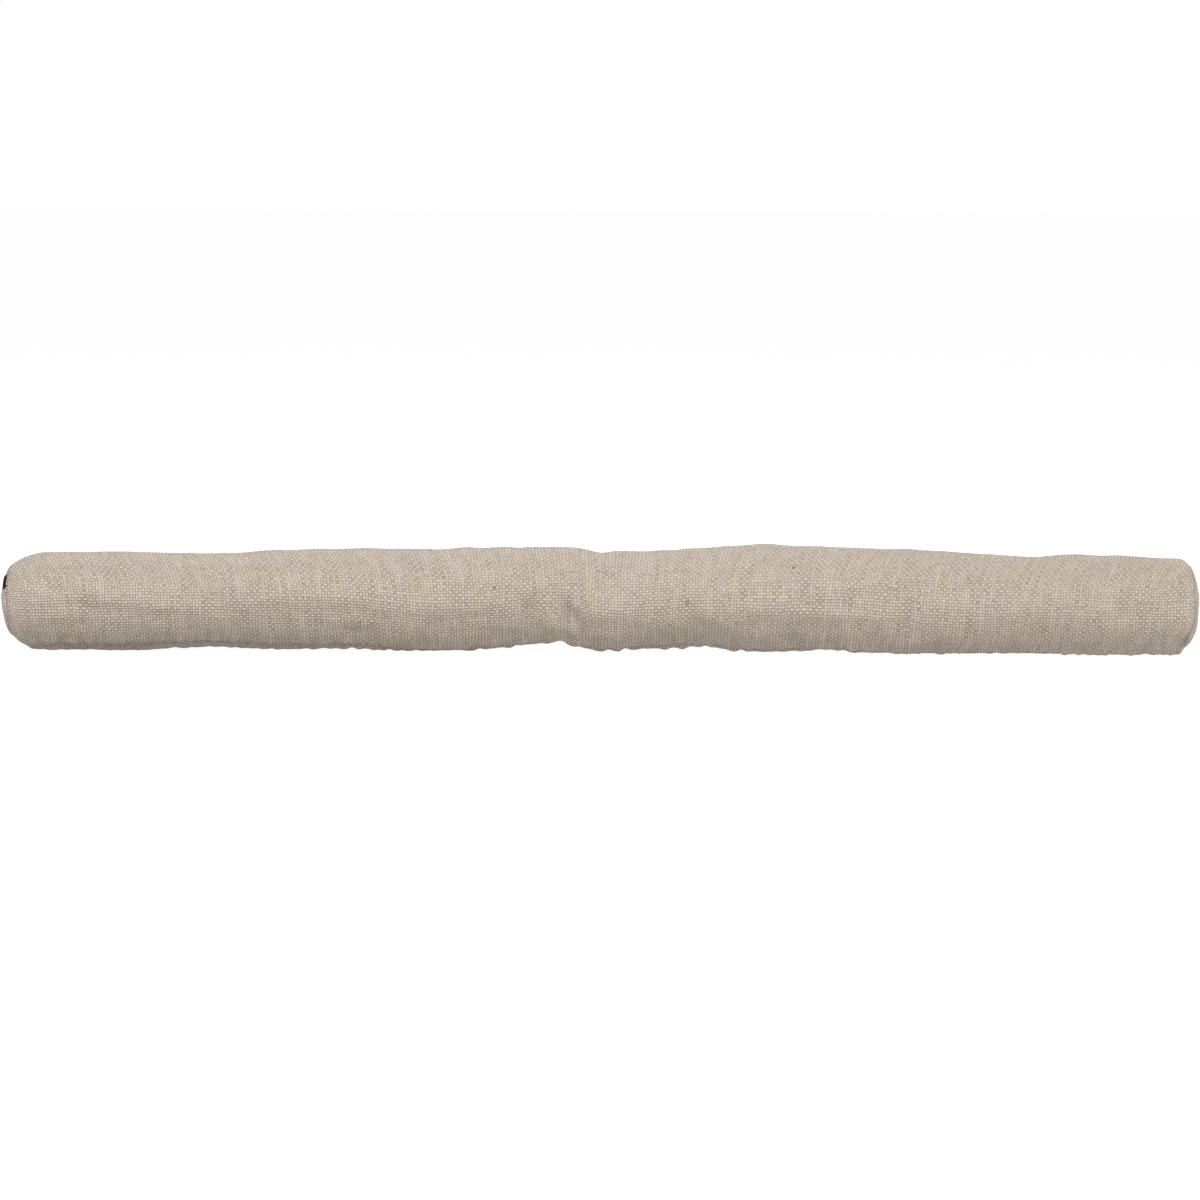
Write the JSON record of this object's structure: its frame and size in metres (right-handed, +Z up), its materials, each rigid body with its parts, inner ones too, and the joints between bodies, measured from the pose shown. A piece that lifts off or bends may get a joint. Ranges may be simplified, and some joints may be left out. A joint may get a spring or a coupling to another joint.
{
  "type": "draught excluder",
  "caption": "Long stuffed tube of coarse natural linen with round end panels and a small black side tab, laid along the foot of a door to stop draughts.",
  "frame": {"origin": "under the middle of the tube, on the floor it lies on", "axes": "+X along the tube, away from the end with the tab; +Z up; -Y is the front, the side the picture shows"},
  "size_m": [0.9, 0.0922, 0.08],
  "materials": {
    "linen": "coarse plain-woven natural linen or hessian, warm grey-beige, about 11 threads to the inch, matt",
    "tab_tape": "close-woven black tape, plain, slightly satin"
  },
  "bodies": {
    "root": {"tube": "linen", "end_panel_left": "linen", "end_panel_right": "linen", "label": "tab_tape"}
  },
  "joints": []
}
